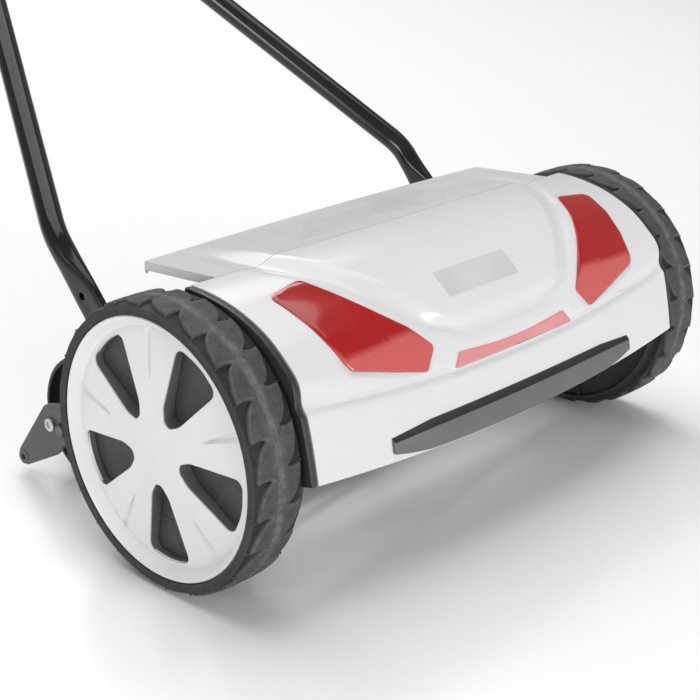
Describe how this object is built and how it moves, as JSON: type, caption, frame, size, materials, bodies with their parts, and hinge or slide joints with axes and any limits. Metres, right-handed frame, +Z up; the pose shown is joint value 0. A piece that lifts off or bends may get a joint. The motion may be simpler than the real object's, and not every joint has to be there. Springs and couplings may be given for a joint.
{
  "type": "reel mower",
  "caption": "Push reel mower: two wheels gear-drive a helical blade reel under a moulded hood, with a rear roller and a folding loop handle.",
  "frame": {"origin": "on the ground, at the middle of the bounding box", "axes": "+Z up, -Y towards the mower's front, +X to the right seen from behind the front face (its left wheel is at -X)"},
  "size_m": [0.534, 1.0844, 0.9907],
  "materials": {
    "white_shell": "glossy moulded",
    "wheel_cover": "satin moulded",
    "black_plastic": "satin moulded",
    "grey_plastic": "fine grain",
    "bumper_plastic": "fine grain",
    "tyre_rubber": "matt",
    "red_lens": "glossy translucent",
    "centre_lens": "glossy translucent",
    "handle_tube": "gloss black powder coat",
    "steel": "zinc plated",
    "dark_steel": "dark coated",
    "bronze": "sintered",
    "foam": "closed-cell foam"
  },
  "bodies": {
    "chassis": {"hood": "white_shell", "red_lens_left": "red_lens", "red_lens_right": "red_lens", "centre_lens": "centre_lens", "front_bumper": "bumper_plastic", "rear_deflector": "white_shell", "tie_rod": "dark_steel", "bed_knife": "steel", "bed_knife_carrier": "dark_steel", "side_plate_left": "black_plastic", "shaft_bearing_left": "steel", "stub_axle_left": "steel", "retaining_ring_left": "dark_steel", "knife_screw_left": "steel", "handle_bolt_left": "steel", "arm_screw_left": "steel", "side_plate_right": "black_plastic", "shaft_bearing_right": "steel", "stub_axle_right": "steel", "retaining_ring_right": "dark_steel", "knife_screw_right": "steel", "handle_bolt_right": "steel", "arm_screw_right": "steel"},
    "left_wheel": {"tyre_left": "tyre_rubber", "rim_left": "black_plastic", "wheel_cover_left": "wheel_cover", "ring_gear_left": "grey_plastic", "hub_bush_left": "bronze"},
    "right_wheel": {"tyre_right": "tyre_rubber", "rim_right": "black_plastic", "wheel_cover_right": "wheel_cover", "ring_gear_right": "grey_plastic", "hub_bush_right": "bronze"},
    "reel": {"reel_shaft": "steel", "reel_spider_left": "dark_steel", "reel_spider_middle": "dark_steel", "reel_spider_right": "dark_steel", "reel_blade_1": "steel", "reel_blade_2": "steel", "reel_blade_3": "steel", "reel_blade_4": "steel", "reel_blade_5": "steel", "ratchet_pawl_left": "steel", "ratchet_pawl_right": "steel", "pinion_left": "dark_steel"},
    "right_pinion": {"pinion_right": "dark_steel"},
    "roller_carriage": {"roller_bracket_left": "grey_plastic", "roller_bracket_right": "grey_plastic", "bracket_screw_left": "steel", "bracket_screw_right": "steel", "roller_axle": "steel"},
    "rear_roller": {"rear_roller": "black_plastic"},
    "lower_handle": {"handle_tube_left": "handle_tube", "handle_tube_right": "handle_tube", "fold_bolt_left": "steel", "fold_bolt_right": "steel"},
    "upper_handle": {"handle_loop": "handle_tube", "foam_grip": "foam"},
    "left_knob": {"fold_knob_left": "black_plastic"},
    "right_knob": {"fold_knob_right": "black_plastic"}
  },
  "joints": [
    {"name": "left_wheel_spin", "type": "hinge", "parent": "chassis", "child": "left_wheel", "pos_m": [-0.2451, -0.4111, 0.11], "axis": [1, 0, 0], "continuous": true},
    {"name": "right_wheel_spin", "type": "hinge", "parent": "chassis", "child": "right_wheel", "pos_m": [0.2451, -0.4111, 0.11], "axis": [1, 0, 0], "continuous": true},
    {"name": "reel_spin", "type": "hinge", "parent": "chassis", "child": "reel", "pos_m": [0, -0.39113, 0.08005], "axis": [1, 0, 0], "continuous": true},
    {"name": "right_pinion_spin", "type": "hinge", "parent": "chassis", "child": "right_pinion", "pos_m": [0.2325, -0.39113, 0.08005], "axis": [1, 0, 0], "continuous": true},
    {"name": "roller_height", "type": "hinge", "parent": "chassis", "child": "roller_carriage", "pos_m": [0, -0.3411, 0.055], "axis": [1, 0, 0], "range_deg": [-7, 5]},
    {"name": "roller_spin", "type": "hinge", "parent": "roller_carriage", "child": "rear_roller", "pos_m": [0, -0.2311, 0.055], "axis": [1, 0, 0], "continuous": true},
    {"name": "handle_tilt", "type": "hinge", "parent": "chassis", "child": "lower_handle", "pos_m": [0, -0.3261, 0.102], "axis": [1, 0, 0], "range_deg": [-15, 45]},
    {"name": "handle_fold", "type": "hinge", "parent": "lower_handle", "child": "upper_handle", "pos_m": [0, 0.19264, 0.60414], "axis": [1, 0, 0], "range_deg": [0, 150]},
    {"name": "left_knob_turn", "type": "hinge", "parent": "lower_handle", "child": "left_knob", "pos_m": [-0.14, 0.19264, 0.60414], "axis": [1, 0, 0], "continuous": true},
    {"name": "right_knob_turn", "type": "hinge", "parent": "lower_handle", "child": "right_knob", "pos_m": [0.14, 0.19264, 0.60414], "axis": [1, 0, 0], "continuous": true}
  ],
  "couplings": [
    {"joint": "reel_spin", "follows": "left_wheel_spin", "ratio": 4},
    {"joint": "right_pinion_spin", "follows": "right_wheel_spin", "ratio": 4}
  ]
}
